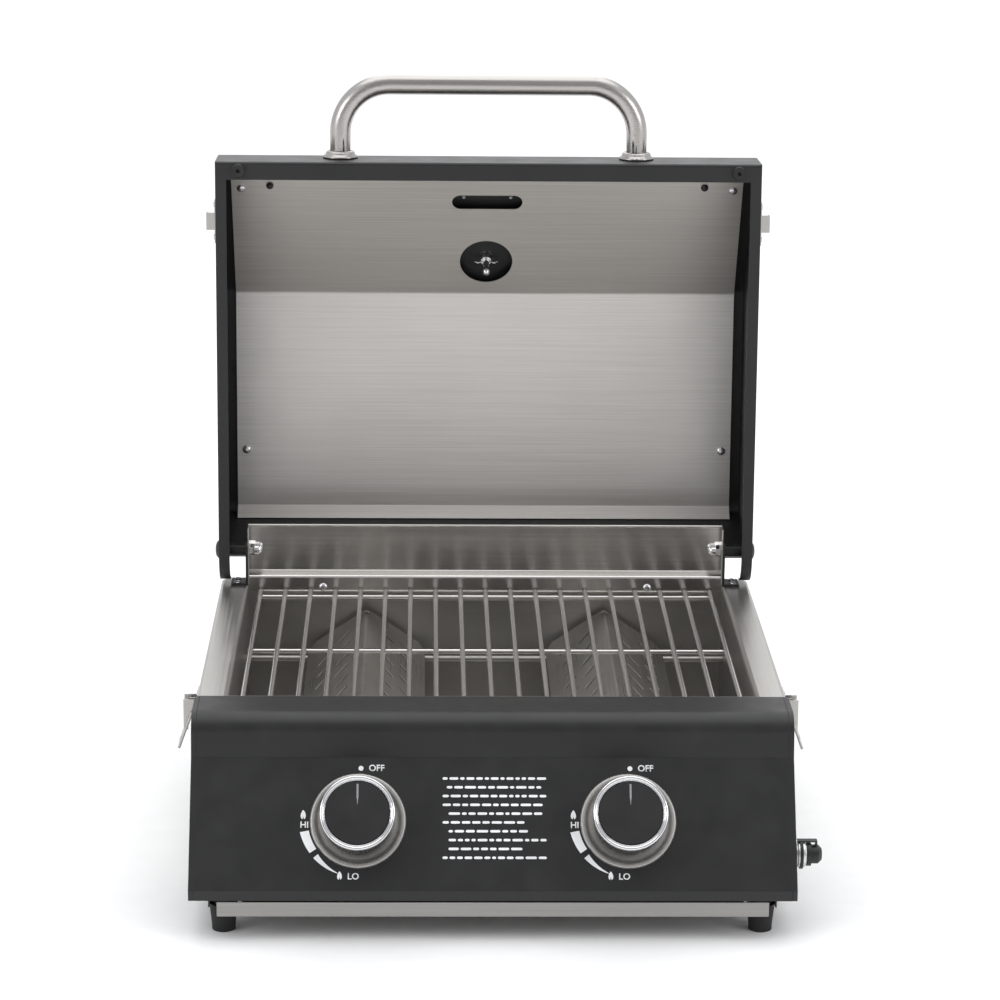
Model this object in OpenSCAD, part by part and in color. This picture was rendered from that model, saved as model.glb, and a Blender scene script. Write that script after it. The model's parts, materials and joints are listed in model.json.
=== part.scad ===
/* [Firebox] */
// Width over the side flanges
body_w = 500; // [380:1:640]
// Depth of the flanges, front to rear
body_d = 356; // [290:1:460]
// Height of the flanges above the table
flange_z = 175; // [165:1:230]
// Width of each side flange
flange_w = 26; // [22:1:34]
// Height of the firebox floor
floor_z = 51; // [48:1:54]
// Height of the lower edge of the skirts
skirt_z = 36; // [34:1:40]
// Thickness of the stainless sheet
sheet = 1.2; // [0.8:0.1:1.6]
// Inner bend radius of the sheet
bend_r = 2.5; // [1.5:0.1:4]
// Gap from the rear edge to the firebox rear wall
rear_gap = 12; // [10:1:16]
// Height of the back splash above the flanges
splash_h = 54; // [48:1:56]

/* [Fascia] */
// How far the front panel stands out past each flange
fascia_over = 1.5; // [1:0.1:3]
// Depth of its flat top
top_flat = 35; // [28:1:44]
// Radius of its rolled nose
nose_r = 17; // [12:1:20]
// Height of the steep face under the nose
face_h = 18; // [12:1:24]
// Lean of the control panel from upright
panel_tilt = 31; // [25:1:35]
// Height of the lower edge of the front panel
fascia_z = 35; // [34:1:38]
// Height of the lower fold
fold_h = 9; // [6:1:12]
// Thickness of each end cap
cap_t = 4.4; // [2:0.1:6]

/* [Lid] */
// How far the closed lid reaches past the front of the flanges
lid_over = 24; // [18:1:30]
// Height of the lid top above the hinge
lid_top = 110; // [95:1:140]
// Height of the front strip above the hinge
strip_top = 30; // [22:1:36]
// Slope of the front panel of the lid
lid_slope = 30; // [28:1:36]
// Radius of the side plates around the hinge
hinge_r = 28; // [27:0.5:30]
// Height of the hinge above the flanges
hinge_up = 32; // [31.5:0.5:36]
// Distance of the hinge from the rear edge
hinge_in = 10; // [8:1:12]
// Opening angle of the lid
lid_open = 92; // [90:1:100]
// Width of the folded lip at the front of the lid
lip_w = 16.5; // [14:0.5:20]
// Gap between the outer skin and the liner
liner_gap = 8; // [6:0.5:10]
// Distance of the liner from each side of the lid
liner_in = 11; // [11:1:18]
// Radius of the hinge bolt
bolt_r = 3; // [2.5:0.1:4]

/* [Handle] */
// Diameter of the handle tube
tube_d = 19; // [14:0.5:22]
// Distance between the handle legs
handle_w = 273; // [200:1:320]
// Distance of the handle from the lid
handle_out = 68; // [55:1:85]
// Bend radius of the handle
handle_bend = 45; // [30:1:48]

/* [Grate and burners] */
// Diameter of a grate rod
rod_d = 4.6; // [4:0.1:6]
// Pitch of the grate rods
rod_pitch = 23.6; // [16:0.1:24.5]
// Least gap from the outer grate rods to the firebox sides
rod_gap = 8; // [6:1:12]
// Outer diameter of a burner tube
burner_d = 26; // [20:1:30]
// Half the width of a flame tamer
tamer_half = 55; // [45:1:60]
// Height of a flame tamer
tamer_h = 37; // [28:1:40]

/* [Controls] */
// Diameter of a bezel
bezel_d = 80; // [70:1:90]
// Diameter of a knob over its bright ring
knob_d = 62; // [50:1:66]
// Height of a knob above the panel
knob_h = 38; // [32:1:44]
// Travel of a knob when pushed
push = 3; // [2:0.5:4]
// Diameter of a valve stem
stem_d = 8; // [6:0.5:9]

/* [Tray and feet] */
// Distance of each end of the tray front from the side of the flanges
tray_in = 22; // [18:1:28]
// Height of the tray front
tray_h = 12.5; // [10:0.5:14]
// Height of a rubber foot below its rail
foot_h = 24; // [20:1:28]
// Diameter of a rubber foot
foot_d = 24; // [20:1:28]
// Width of a base rail
rail_w = 24; // [20:1:28]

/* [Fits] */
// Radial clearance of a turning fit
run = 0.06; // [0.02:0.01:0.1]
// Clearance between sliding pieces
slip = 0.3; // [0.2:0.1:0.6]

/* [Hidden] */
$fn = 48;
eps = 0.01;
arc_steps = 6;

// Depth positions, with the whole open grill centred on the origin
knob_fore = 139;
lid_aft = 128;
front_y = (knob_fore - body_d + hinge_in - lid_aft) / 2;
rear_y = front_y + body_d;
hinge_y = rear_y - hinge_in;
hinge_z = flange_z + hinge_up;
half_w = body_w / 2;
tub_half = half_w - flange_w;
fascia_w = body_w + 2 * fascia_over;
tray_w = body_w - 2 * tray_in;
lid_len = body_d - hinge_in + lid_over;
// One burner, one flame tamer and one knob stand at the middle of each half of the firebox
burner_x = tub_half / 2;
wall_y = rear_y - rear_gap;
front_wall_y = front_y + 4;

// Drain opening over the tray, and the air slots in each skirt
drain_w = 120;
drain_d = 60;
drain_y = front_y + body_d / 2;
vent = [6, 18, 5];
vent_pitch = 34;

// Fascia outline in Y and Z, from the flange forward and down
nose_y = front_y - top_flat - nose_r;
crease_y = nose_y - 5;
crease_z = flange_z - nose_r - face_h;
panel_z = fascia_z + fold_h;
panel_y = crease_y - (crease_z - panel_z) * tan(panel_tilt);
fascia_path = [[front_y, flange_z], [nose_y, flange_z], [crease_y, crease_z], [panel_y, panel_z],
    [panel_y, fascia_z]];
fascia_bends = [nose_r, 3, 3];

// Knob axes stand square to the panel at its middle
knob_share = 0.48;
knob_y = crease_y + (panel_y - crease_y) * knob_share;
knob_z = crease_z + (panel_z - crease_z) * knob_share;
valve_r = 12;
valve_len = 38;
valve_mid = 28;
plug_r = 9;
plug_len = 16;
pipe_r = 7;
pipe_drop = 22;
burner_y0 = knob_y + valve_mid * cos(panel_tilt) + 22;
burner_z = knob_z - valve_mid * sin(panel_tilt);
burner_end = wall_y - 20;
burner_t = 1;
port_r = 1.5;
port_pitch = 22;
pipe_y = knob_y + valve_mid * cos(panel_tilt) - pipe_drop * sin(panel_tilt);
pipe_z = burner_z - pipe_drop * cos(panel_tilt);
nipple_r = 5;
union_r = 11;
union_len = 8.5;
collar_len = 4;
union_x = fascia_w / 2 + cap_t / 2;
collar_x = union_x + union_len + collar_len;
nipple_len = 7;
strap_z = union_r + slip;
strap_t = 1.2;
strap_w = 6;

// Lid outline in Y and Z from the hinge, lid shut
slope_dy = (lid_top - strip_top) / tan(lid_slope);
slope_len = norm([slope_dy, lid_top - strip_top]);
tail_y = 14;
rim_z = -hinge_r;
lid_path = [[-lid_len + lip_w, rim_z], [-lid_len, rim_z], [-lid_len, strip_top],
    [-lid_len + slope_dy, lid_top], [-tail_y, lid_top], [tail_y, hinge_r]];
lid_bends = [3, 10, 14, 14];
skin = 1;
plate = 1.2;
liner_t = 0.8;
rim_w = 10;
liner_lip = 10.5;
liner_end = tail_y + 5.5;
// Places up the slope for the badge slot, the thermometer and the upper screws
badge_s = 48;
top_screw_s = 33;
lip_screw_s = 29;
liner_screw_x = half_w - 20;
low_screw_y = -75;
case_r = 30;
thermo_edge = 11;
thermo_s = slope_len - case_r - thermo_edge;
handle_z = 6;
bumper_x = half_w - 21;
lip_screw_x = bumper_x - 26;
bumper_h = hinge_up - hinge_r - slip;

// Grate, tamers and their supports
rod_count = 2 * floor((tub_half - rod_gap - rod_d / 2) / rod_pitch) + 1;
rod_span = (rod_count - 1) * rod_pitch;
rod_z = flange_z - 7;
grate_y0 = front_wall_y + 2;
grate_y1 = wall_y - 5;
tamer_base = burner_z + burner_d / 2 + 23;
tamer_y0 = front_wall_y + 12;
tamer_y1 = wall_y - 10;
slit_pitch = 34;
bar_d = 6;

// Base, tray and feet
rail_x = tub_half;
rail_y0 = panel_y + 14;
rail_y1 = rear_y - 6;
rail_z = foot_h;
foot_y0 = rail_y0 + foot_d / 2 + 2;
foot_y1 = rail_y1 - foot_d / 2 - 6;
tray_z0 = fascia_z - tray_h - 1;
tray_rim_z = fascia_z - 2;
tray_half = rail_x - rail_w / 2 - 4;
tray_y0 = panel_y + 1;
tray_y1 = rear_y - 40;
runner_z = tray_rim_z - 1 - slip;

cross_over = 3;
ledge_in = 14;
ledge_w = 10;
ledge_drop = rod_d / 2 * 3;

// Holes, screws and cutters
cut = 1;
stem_hole_r = stem_d / 2 + 3;
foot_hole_r = 2.1;
foot_screw_r = 2;
foot_recess = 9;
rivet_r = 1.5;
rivet_hole_r = 1.6;
plate_screw_r = 1.6;
splash_hole_r = 2;
splash_screw_r = 1.9;
splash_screw_x = rod_pitch * 6.5;
splash_screw_z = flange_z - 4;
splash_y = rear_y - 3;
splash_return = 7;
liner_screw_r = 2;
lip_screw_r = 1.8;
badge_stud_x = 22;
badge_stud_y = -5;
badge_stud_r = 1.5;
probe_len = 24;
handle_screw_r = 2.95;
nut_h = 7.5;

// Hinge brackets inside the side plates
bracket_x = tub_half;
bracket_t = 2;
bracket_r = 12;
bracket_foot = 8;
bracket_foot_w = 16;
bracket_screw_x = bracket_x + bracket_foot_w - 6;
bracket_screw_y = [hinge_y - 8, hinge_y + 4];

// Knobs
grip_r = knob_d / 2 - 2;
grip_wall = 3;
ring_h = 7;
knob_z0 = 4 + push;
flutes = 30;
flute_r = 1.4;

// Latches on the sides, in line with the keepers on the lid
keeper_back = 55;
latch_y = hinge_y - lid_len + keeper_back;
lever_pin_z = flange_z - 14;
lever_pin_x = half_w + 7.2;
lever_web_x = lever_pin_x + 5;
bail_pin_z = lever_pin_z - 9;
pin_r = 1.5;
wire_r = 1.25;
bail_lean = 160;
rivet_z = [lever_pin_z - 20, lever_pin_z + 6];
keeper_z = 7 - hinge_r;
keeper_floor = 4;
keeper_t = 1;
bar_r = wire_r - 0.2;
keeper_lip_x = lever_pin_x - 1 + bar_r + slip;
bail_len = hinge_z + keeper_z - keeper_floor + bar_r + slip - bail_pin_z;
keeper_y = -lid_len + keeper_back;
keeper_rivet_y = [for (s = [-1, 1]) keeper_y + s * 15];

function unit(v) = v / norm(v);
function left_of(v) = [-v.y, v.x];
function turn_sign(p, i) = sign(cross(p[i] - p[i - 1], p[i + 1] - p[i]));
// A path moved to its left by t, with mitred corners
function beside(p, t) = [for (i = [0 : len(p) - 1])
    let (a = i > 0 ? unit(p[i] - p[i - 1]) : unit(p[1] - p[0]),
         b = i < len(p) - 1 ? unit(p[i + 1] - p[i]) : a,
         m = unit(left_of(a) + left_of(b)))
    p[i] + m * t / (m * left_of(a))];
// Points of a round bend at corner i
function bend(p, i, r) =
    let (a = unit(p[i - 1] - p[i]), b = unit(p[i + 1] - p[i]), half = acos(a * b) / 2,
         c = p[i] + unit(a + b) * r / sin(half), s = p[i] + a * r / tan(half) - c,
         e = p[i] + b * r / tan(half) - c, a0 = atan2(s.y, s.x), a1 = atan2(e.y, e.x),
         da = (a1 - a0 + 540) % 360 - 180)
    [for (k = [0 : arc_steps]) c + r * [cos(a0 + da * k / arc_steps), sin(a0 + da * k / arc_steps)]];
function rounded(p, radii) = concat([p[0]],
    [for (i = [1 : len(p) - 2]) each bend(p, i, radii[i - 1])], [p[len(p) - 1]]);
function flipped(p) = [for (i = [len(p) - 1 : -1 : 0]) p[i]];
// Outline of a bent sheet of thickness t on the left of a path
function sheet_outline(p, radii, t) =
    let (q = [for (i = [1 : len(p) - 2]) max(0.3, radii[i - 1] - t * turn_sign(p, i))])
    concat(rounded(p, radii), flipped(rounded(beside(p, t), q)));

// Extrudes a Y-Z outline along X, centred
module along_x(w) rotate([90, 0, 90]) linear_extrude(w, center = true) children();
// Cylinder along X from x0 to x1
module rod_x(r, x0, x1) translate([x0, 0, 0]) rotate([0, 90, 0]) cylinder(r = r, h = x1 - x0);
// Cylinder along Y from y0 to y1
module rod_y(r, y0, y1) translate([0, y0, 0]) rotate([-90, 0, 0]) cylinder(r = r, h = y1 - y0);
module both_sides() { children(); mirror([1, 0, 0]) children(); }
// Places a lid piece, drawn with the lid shut and the hinge at the origin, with the lid open
module on_lid() translate([0, hinge_y, hinge_z]) rotate([-lid_open, 0, 0]) children();
// Places a piece on the sloping front of the lid, s along it
module on_slope(s) on_lid()
    translate([0, -lid_len + s * cos(lid_slope), strip_top + s * sin(lid_slope)])
        rotate([lid_slope, 0, 0]) children();
// Places a piece on the control panel, square to it
module on_panel(x) translate([x, knob_y, knob_z]) rotate([90 - panel_tilt, 0, 0]) children();
// Pan-head screw with its head above z = 0
module pan_screw(head_r, head_h, shank_r, shank) rotate_extrude()
    polygon(concat([[0, -shank], [shank_r, -shank], [shank_r, 0], [head_r, 0]],
        [for (k = [1 : 5]) [head_r * cos(k * 16), head_h * sin(k * 18)]], [[0, head_h]]));
// Flat plate from one corner to the other
module plate_box(a, b) translate(a) cube(b - a);

module firebox() color("silver") {
    section = [[rail_x - rail_w / 2, skirt_z], [half_w, skirt_z], [half_w, flange_z],
        [tub_half, flange_z], [tub_half, floor_z], [-tub_half, floor_z],
        [-tub_half, flange_z], [-half_w, flange_z], [-half_w, skirt_z], [-rail_x + rail_w / 2, skirt_z]];
    outer = bend_r + sheet;
    difference() {
        union() {
            translate([0, rear_y - sheet, 0]) rotate([90, 0, 0])
                linear_extrude(rear_y - sheet - front_y)
                    polygon(sheet_outline(section, [for (i = [1 : 8]) outer], sheet));
            plate_box([-tub_half, front_wall_y - sheet, floor_z - sheet],
                [tub_half, front_wall_y, flange_z - sheet]);
            plate_box([-tub_half, wall_y, floor_z - sheet], [tub_half, wall_y + sheet, flange_z]);
            plate_box([-half_w + outer, rear_y - sheet, skirt_z], [half_w - outer, rear_y, flange_z]);
            plate_box([-tub_half, wall_y, flange_z - sheet], [tub_half, rear_y - sheet, flange_z]);
        }
        both_sides() translate([burner_x, 0, burner_z])
            rod_y(burner_d / 2 + 1, front_y - 1, front_wall_y + 1);
        plate_box([-drain_w / 2, drain_y - drain_d / 2, floor_z - sheet - cut],
            [drain_w / 2, drain_y + drain_d / 2, floor_z + cut]);
        both_sides() for (k = [0 : 3])
            translate([half_w, latch_y + 90 + k * vent_pitch, flange_z - 95]) cube(vent, center = true);
        foot_bores();
        both_sides() latch_holes();
        splash_bores();
    }
}
module splash_bores() both_sides() translate([splash_screw_x, 0, splash_screw_z])
    rod_y(splash_hole_r, wall_y - 3, wall_y + 3);
module foot_bores() both_sides() for (y = [foot_y0, foot_y1])
    translate([rail_x, y, skirt_z - 3]) cylinder(r = foot_hole_r, h = 8);
module latch_holes() for (z = rivet_z)
    translate([0, latch_y, z]) rod_x(rivet_hole_r, half_w - 3, half_w + 3);

module back_splash() color("gainsboro") {
    top = flange_z + splash_h;
    foot = [[wall_y, flange_z - 8], [wall_y, flange_z + 6], [splash_y, flange_z + 9.5], [splash_y, top]];
    difference() {
        union() {
            along_x(2 * bracket_x) polygon(sheet_outline(foot, [1.5, 2], sheet));
            translate([0, splash_y - sheet / 2, top]) rod_x(sheet, -bracket_x, bracket_x);
            both_sides() plate_box([bracket_x - sheet, wall_y - splash_return, flange_z + 0.1],
                [bracket_x, splash_y - sheet / 2, top + sheet / 2]);
        }
        splash_bores();
        both_sides() plate_box([tub_half - 0.2, wall_y - 3, 0], [half_w, wall_y + 2, flange_z + 0.1]);
        both_sides() translate([0, hinge_y, hinge_z]) rod_x(bolt_r, bracket_x - 3, bracket_x + cut);
    }
}

module hinge_brackets() color("dimgray") both_sides() difference() {
    front = hinge_y - bracket_r;
    rear = hinge_y + bracket_foot;
    union() {
        translate([0, hinge_y, hinge_z]) rod_x(bracket_r, bracket_x, bracket_x + bracket_t);
        plate_box([bracket_x, front, flange_z], [bracket_x + bracket_t, rear, hinge_z]);
        plate_box([bracket_x, front, flange_z], [bracket_x + bracket_foot_w, rear, flange_z + bracket_t]);
    }
    for (y = bracket_screw_y) translate([bracket_screw_x, y, flange_z - cut])
        cylinder(r = plate_screw_r, h = 5);
    translate([0, hinge_y, hinge_z]) rod_x(bolt_r, bracket_x - cut, bracket_x + 5);
}
module hinge_bolts() color("black") both_sides() translate([half_w + slip, hinge_y, hinge_z]) {
    rotate([0, 90, 0]) pan_screw(9, 4.5, bolt_r, half_w + slip - bracket_x + sheet + 7);
}
module hinge_cap_nuts() color("silver") both_sides() translate([bracket_x - sheet, hinge_y, hinge_z])
    rotate([0, -90, 0]) difference() {
        union() {
            cylinder(r = 5.6, h = 5, $fn = 6);
            cylinder(r = 4.6, h = nut_h);
            translate([0, 0, nut_h]) sphere(r = 4.6);
        }
        translate([0, 0, -1]) cylinder(r = bolt_r, h = 8);
    }
module hinge_spacers() color("silver") both_sides() translate([0, hinge_y, hinge_z]) difference() {
    rod_x(6, bracket_x + bracket_t, half_w - plate - slip);
    rod_x(bolt_r + run, bracket_x, half_w);
}

module fascia_panel() color("#2c2d30") difference() {
    along_x(fascia_w - 2 * cap_t) polygon(sheet_outline(fascia_path, fascia_bends, sheet));
    both_sides() on_panel(burner_x) translate([0, 0, -4]) cylinder(r = stem_hole_r, h = 8);
}
module fascia_end_caps() color("#26272a") difference() {
    both_sides() translate([(fascia_w - cap_t) / 2, 0, 0]) along_x(cap_t)
        polygon(concat(rounded(fascia_path, fascia_bends), [[front_y, fascia_z]]));
    translate([0, pipe_y, pipe_z]) rod_x(pipe_r + slip, 0, fascia_w);
}
module heat_shield() color("silver") difference() {
    shield_y = front_y - 14;
    union() {
        plate_box([-tub_half, shield_y, floor_z], [tub_half, shield_y + sheet, flange_z - 22]);
        plate_box([-tub_half, shield_y, floor_z], [tub_half, front_y, floor_z + sheet]);
    }
    both_sides() translate([burner_x, 0, burner_z]) rod_y(burner_d / 2 + 1, shield_y - 6, front_y);
}
module knob_bezels() color("silver") both_sides() on_panel(burner_x) rotate_extrude($fn = 96)
    polygon([[stem_hole_r, 0], [bezel_d / 2, 0], [bezel_d / 2, 1.4], [bezel_d / 2 - 1, 3],
        [bezel_d / 2 - 3.2, 3.4], [bezel_d / 2 - 5, 2.6], [bezel_d / 2 - 8, 1.6], [stem_hole_r, 1.2]]);

// Valve: plug seat, stem bore, gas inlet saddle and burner spud
module valve_bodies() color("goldenrod") both_sides() difference() {
    union() {
        on_panel(burner_x) {
            translate([0, 0, -valve_len]) cylinder(r = valve_r, h = valve_len - sheet);
            translate([0, -pipe_drop + pipe_r, -valve_mid]) rod_y(6.5, 0, 10);
        }
        translate([burner_x, 0, burner_z]) rod_y(5, burner_y0 - 22, burner_y0 + 6);
    }
    on_panel(burner_x) {
        translate([0, 0, -valve_len + 3]) cylinder(r = plug_r, h = plug_len + 2 * slip);
        translate([0, 0, -valve_len]) translate([0, 0, 4]) cylinder(r = stem_d / 2 + slip, h = valve_len);
    }
    translate([0, pipe_y, pipe_z]) rod_x(pipe_r, 0, half_w);
}
module valve_plug(x) color("darkgoldenrod") on_panel(x) difference() {
    translate([0, 0, -valve_len + 3 + slip]) cylinder(r = plug_r - run, h = plug_len);
    translate([0, 0, -valve_len + 6]) cylinder(r = stem_d / 2 + run, h = plug_len + 4);
}
module left_valve_plug() valve_plug(-burner_x);
module right_valve_plug() valve_plug(burner_x);
module valve_stem(x) color("silver") on_panel(x)
    translate([0, 0, -valve_len + 6 + push + slip])
        cylinder(r = stem_d / 2, h = valve_len + knob_h - 15 - push - slip);
module left_valve_stem() valve_stem(-burner_x);
module right_valve_stem() valve_stem(burner_x);

module knob_grip(x) color("#202123") on_panel(x) difference() {
    union() {
        difference() {
            translate([0, 0, knob_z0]) cylinder(r = grip_r, h = knob_h - knob_z0 - 1, $fn = 96);
            translate([0, 0, knob_z0 - cut]) cylinder(r = grip_r - 3.5, h = knob_h - knob_z0 - 5);
            translate([0, 0, knob_h - ring_h]) difference() {
                cylinder(r = knob_d, h = ring_h + cut);
                translate([0, 0, -cut]) cylinder(r = grip_r - grip_wall, h = ring_h + 3);
            }
            for (k = [0 : flutes - 1]) rotate([0, 0, k * 360 / flutes])
                translate([grip_r + 0.5, 0, knob_z0 - cut]) cylinder(r = flute_r, h = knob_h);
        }
        translate([0, 0, knob_z0]) cylinder(r = stem_hole_r, h = knob_h - knob_z0 - 4);
    }
    translate([0, 0, knob_z0 - cut]) cylinder(r = stem_d / 2 + run, h = knob_h - 9 - knob_z0 + cut);
}
module left_knob_grip() knob_grip(-burner_x);
module right_knob_grip() knob_grip(burner_x);
module knob_ring(x) color("gainsboro") on_panel(x) translate([0, 0, knob_h - ring_h])
    rotate_extrude($fn = 96) polygon([[grip_r - grip_wall, 0], [knob_d / 2 - 0.8, 0], [knob_d / 2, 1],
        [knob_d / 2, ring_h - 3], [knob_d / 2 - 1.4, ring_h - 1], [knob_d / 2 - 3.4, ring_h],
        [grip_r - 2.4, ring_h - 0.4], [grip_r - grip_wall, ring_h - 1.4]]);
module left_knob_ring() knob_ring(-burner_x);
module right_knob_ring() knob_ring(burner_x);

module gas_manifold() color("goldenrod") translate([0, pipe_y, pipe_z]) {
    rod_x(pipe_r, -burner_x - 20, union_x);
    rod_x(pipe_r + 2, -burner_x - 28, -burner_x - 20, $fn = 6);
}
module inlet_union() color("silver") translate([0, pipe_y, pipe_z]) {
    rod_x(union_r - 1.5, union_x, union_x + 1.5);
    rod_x(union_r, union_x + 1.5, union_x + union_len - 1);
    rod_x(union_r - 1.5, union_x + union_len - 1, union_x + union_len);
}
module inlet_collar() color("#222222") translate([0, pipe_y, pipe_z]) {
    rod_x(union_r - 1, union_x + union_len, collar_x);
    rod_x(nipple_r, collar_x, collar_x + nipple_len);
}
module inlet_cap() color("#1c1c1c") translate([collar_x, pipe_y, pipe_z]) {
    back = -collar_len - union_len;
    difference() {
        union() {
            rod_x(nipple_r + 3, slip, 6);
            translate([6, 0, 0]) rotate([0, 90, 0]) cylinder(r1 = nipple_r + 3, r2 = nipple_r, h = 3);
        }
        rod_x(nipple_r + run, -cut, nipple_len + slip);
    }
    plate_box([back + 1, -strap_w / 2, strap_z], [5, strap_w / 2, strap_z + strap_t]);
    plate_box([3.6, -strap_w / 2, nipple_r + 1], [5, strap_w / 2, strap_z + strap_t]);
    difference() {
        rod_x(strap_z + strap_t, back + 3, back + 5.5);
        rod_x(strap_z, back + 2, 0);
    }
}

module burner_tubes() color("silver") both_sides() translate([burner_x, 0, burner_z]) difference() {
    union() {
        rod_y(burner_d / 2, burner_y0 - 4, burner_end - 2);
        rod_y(burner_d / 2 + 0.8, burner_end - 6, burner_end);
    }
    rod_y(burner_d / 2 - burner_t, burner_y0 - 5, burner_end - 4);
    for (y = [front_y + 30 : port_pitch : burner_end - 20], s = [-1, 1]) translate([0, y, 0])
        rotate([0, s * 55, 0]) cylinder(r = port_r, h = burner_d);
    translate([0, burner_y0 + 8, 0]) cube([burner_d + 4, 9, 12], center = true);
}
module burner_brackets() color("silver") both_sides() for (y = [front_y + 24, wall_y - 34])
    translate([burner_x, y, 0]) difference() {
        union() {
            translate([-20, -7, floor_z]) cube([40, 14, 1.5]);
            translate([-10, -0.75, floor_z]) cube([20, 1.5, burner_z - floor_z]);
        }
        translate([0, 0, burner_z]) rod_y(burner_d / 2, -10, 10);
    }
// Roof-shaped heat spreader with slanted slits on both slopes
module flame_tamers() color("gray") both_sides() translate([burner_x, 0, tamer_base]) difference() {
    rotate([90, 0, 0]) translate([0, 0, -tamer_y1]) linear_extrude(tamer_y1 - tamer_y0)
        polygon(sheet_outline([[tamer_half, 0], [0, tamer_h], [-tamer_half, 0]], [2.5], sheet));
    for (s = [-1, 1]) {
        for (y = [tamer_y0 + slit_pitch : slit_pitch : tamer_y1 - slit_pitch + 4], u = [0.36, 0.68])
            translate([s * tamer_half * u, y, tamer_h * (1 - u)]) rotate([0, s * 34, 0])
                rotate([0, 0, s * 38]) cube([3.2, 22, 14], center = true);
        translate([s * tamer_half, tamer_y1, 0]) rotate([0, 0, s * 18]) cube([12, 50, 20], center = true);
        translate([s * tamer_half, tamer_y0 + 120, 0]) cube([16, 34, 20], center = true);
    }
    translate([0, tamer_y1 - 9, 0]) cylinder(r = 3, h = tamer_h * 2);
}
module tamer_bars() color("silver") {
    for (y = [tamer_y0 + 20, tamer_y1 - 24])
        translate([0, y, tamer_base - bar_d / 2 - sheet - 0.4]) rod_x(bar_d / 2, -tub_half, tub_half);
}
module grate_ledges() color("silver") for (s = [0, 1]) {
    x = tub_half - ledge_in;
    top = rod_z - ledge_drop;
    shelf_y = s == 0 ? front_wall_y : wall_y - ledge_w;
    web_y = s == 0 ? front_wall_y : wall_y - sheet;
    plate_box([-x, shelf_y, top - sheet], [x, shelf_y + ledge_w, top]);
    plate_box([-x, web_y, rod_z - 22], [x, web_y + sheet, top]);
}
module cooking_grate() color("gainsboro") {
    for (k = [0 : rod_count - 1]) translate([k * rod_pitch - rod_span / 2, 0, rod_z])
        rod_y(rod_d / 2, grate_y0, grate_y1);
    for (y = [grate_y0 + 5, front_y + body_d * 0.46, grate_y1 - 4])
        translate([0, y, rod_z - rod_d * 0.95])
            rod_x(rod_d / 2, -rod_span / 2 - cross_over, rod_span / 2 + cross_over);
}
module igniter_electrodes() color("white") both_sides()
    translate([burner_x - burner_d / 2 - 9, front_y + 40, floor_z]) {
        rise = burner_z - floor_z;
        cylinder(r = 4, h = 20);
        translate([0, 0, 20]) cylinder(r = 1.2, h = rise - 12);
        translate([0, 0, rise + 7]) rotate([0, 60, 0]) cylinder(r = 1.1, h = 7);
    }

module base_rails() color("dimgray") both_sides() difference() {
    plate_box([rail_x - rail_w / 2, rail_y0, rail_z], [rail_x + rail_w / 2, rail_y1, skirt_z]);
    plate_box([rail_x - rail_w / 2 + sheet, rail_y0 - 1, rail_z - 1],
        [rail_x + rail_w / 2 - sheet, rail_y1 + 1, skirt_z - sheet]);
    foot_bores();
}
module rubber_feet() color("#1b1b1b") both_sides() for (y = [foot_y0, foot_y1])
    translate([rail_x, y, 0]) difference() {
        union() {
            cylinder(r1 = foot_d / 2 - 2.5, r2 = foot_d / 2, h = rail_z - eps * 10);
            cylinder(r = rail_w / 2 - sheet - 1, h = skirt_z - sheet);
        }
        translate([0, 0, -cut]) cylinder(r = 5.5, h = foot_recess + cut);
        cylinder(r = foot_hole_r, h = skirt_z);
    }
module foot_screws() color("silver") both_sides() for (y = [foot_y0, foot_y1])
    translate([rail_x, y, foot_recess]) rotate([180, 0, 0]) pan_screw(4.6, 2.6, foot_screw_r, skirt_z - 5);
module tray_runners() color("silver") both_sides() {
    x = rail_x - rail_w / 2;
    plate_box([x - 8, rail_y0 + 6, runner_z - 1], [x, rail_y1 - 6, runner_z]);
    plate_box([x - 1, rail_y0 + 6, runner_z - 1], [x, rail_y1 - 6, skirt_z]);
}
module drip_tray() color("gainsboro") {
    pan = tray_half - 5;
    difference() {
        union() {
            plate_box([-tray_w / 2, tray_y0 - 1.6, tray_z0], [tray_w / 2, tray_y0 - 0.4, fascia_z - 1]);
            plate_box([-pan, tray_y0 - 1, tray_z0 + 2], [pan, tray_y1, tray_rim_z - 1]);
            plate_box([0.5 - tray_half, tray_y0 - 1, tray_rim_z - 1],
                [tray_half - 0.5, tray_y1, tray_rim_z]);
        }
        plate_box([-pan + 1, tray_y0 + 0.4, tray_z0 + 3], [pan - 1, tray_y1 - 1, tray_rim_z + 1]);
    }
}
module body_screws() color("silver") {
    both_sides() translate([splash_screw_x, wall_y - sheet, splash_screw_z])
        rotate([90, 0, 0]) pan_screw(4, 2, splash_screw_r, sheet * 2 + 2);
    both_sides() for (y = bracket_screw_y) translate([bracket_screw_x, y, flange_z + bracket_t])
        pan_screw(3.2, 1.5, plate_screw_r, bracket_t);
}

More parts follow.
